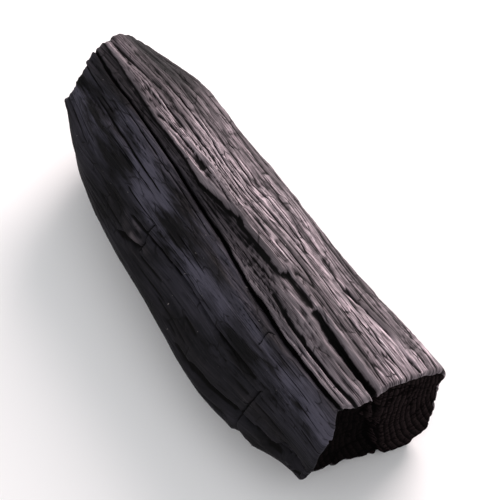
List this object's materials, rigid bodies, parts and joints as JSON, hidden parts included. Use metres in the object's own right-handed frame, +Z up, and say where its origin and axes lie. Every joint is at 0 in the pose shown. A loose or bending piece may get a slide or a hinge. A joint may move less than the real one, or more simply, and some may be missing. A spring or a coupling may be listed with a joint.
{
  "type": "charcoal lump",
  "caption": "Lump of hardwood charcoal: a split length of log, charred through, with drying cracks along the grain and broken ends.",
  "frame": {"origin": "middle of the lump's footprint, on the surface that it lies on", "axes": "+X along the grain towards the wider, cleanly broken end; +Y towards the side that the lit split face looks to; +Z up"},
  "size_m": [0.216, 0.0876, 0.0659],
  "materials": {
    "charred_wood": "matt black char with a faint graphite lustre on fresh breaks"
  },
  "bodies": {
    "root": {"charcoal_lump": "charred_wood"}
  },
  "joints": []
}
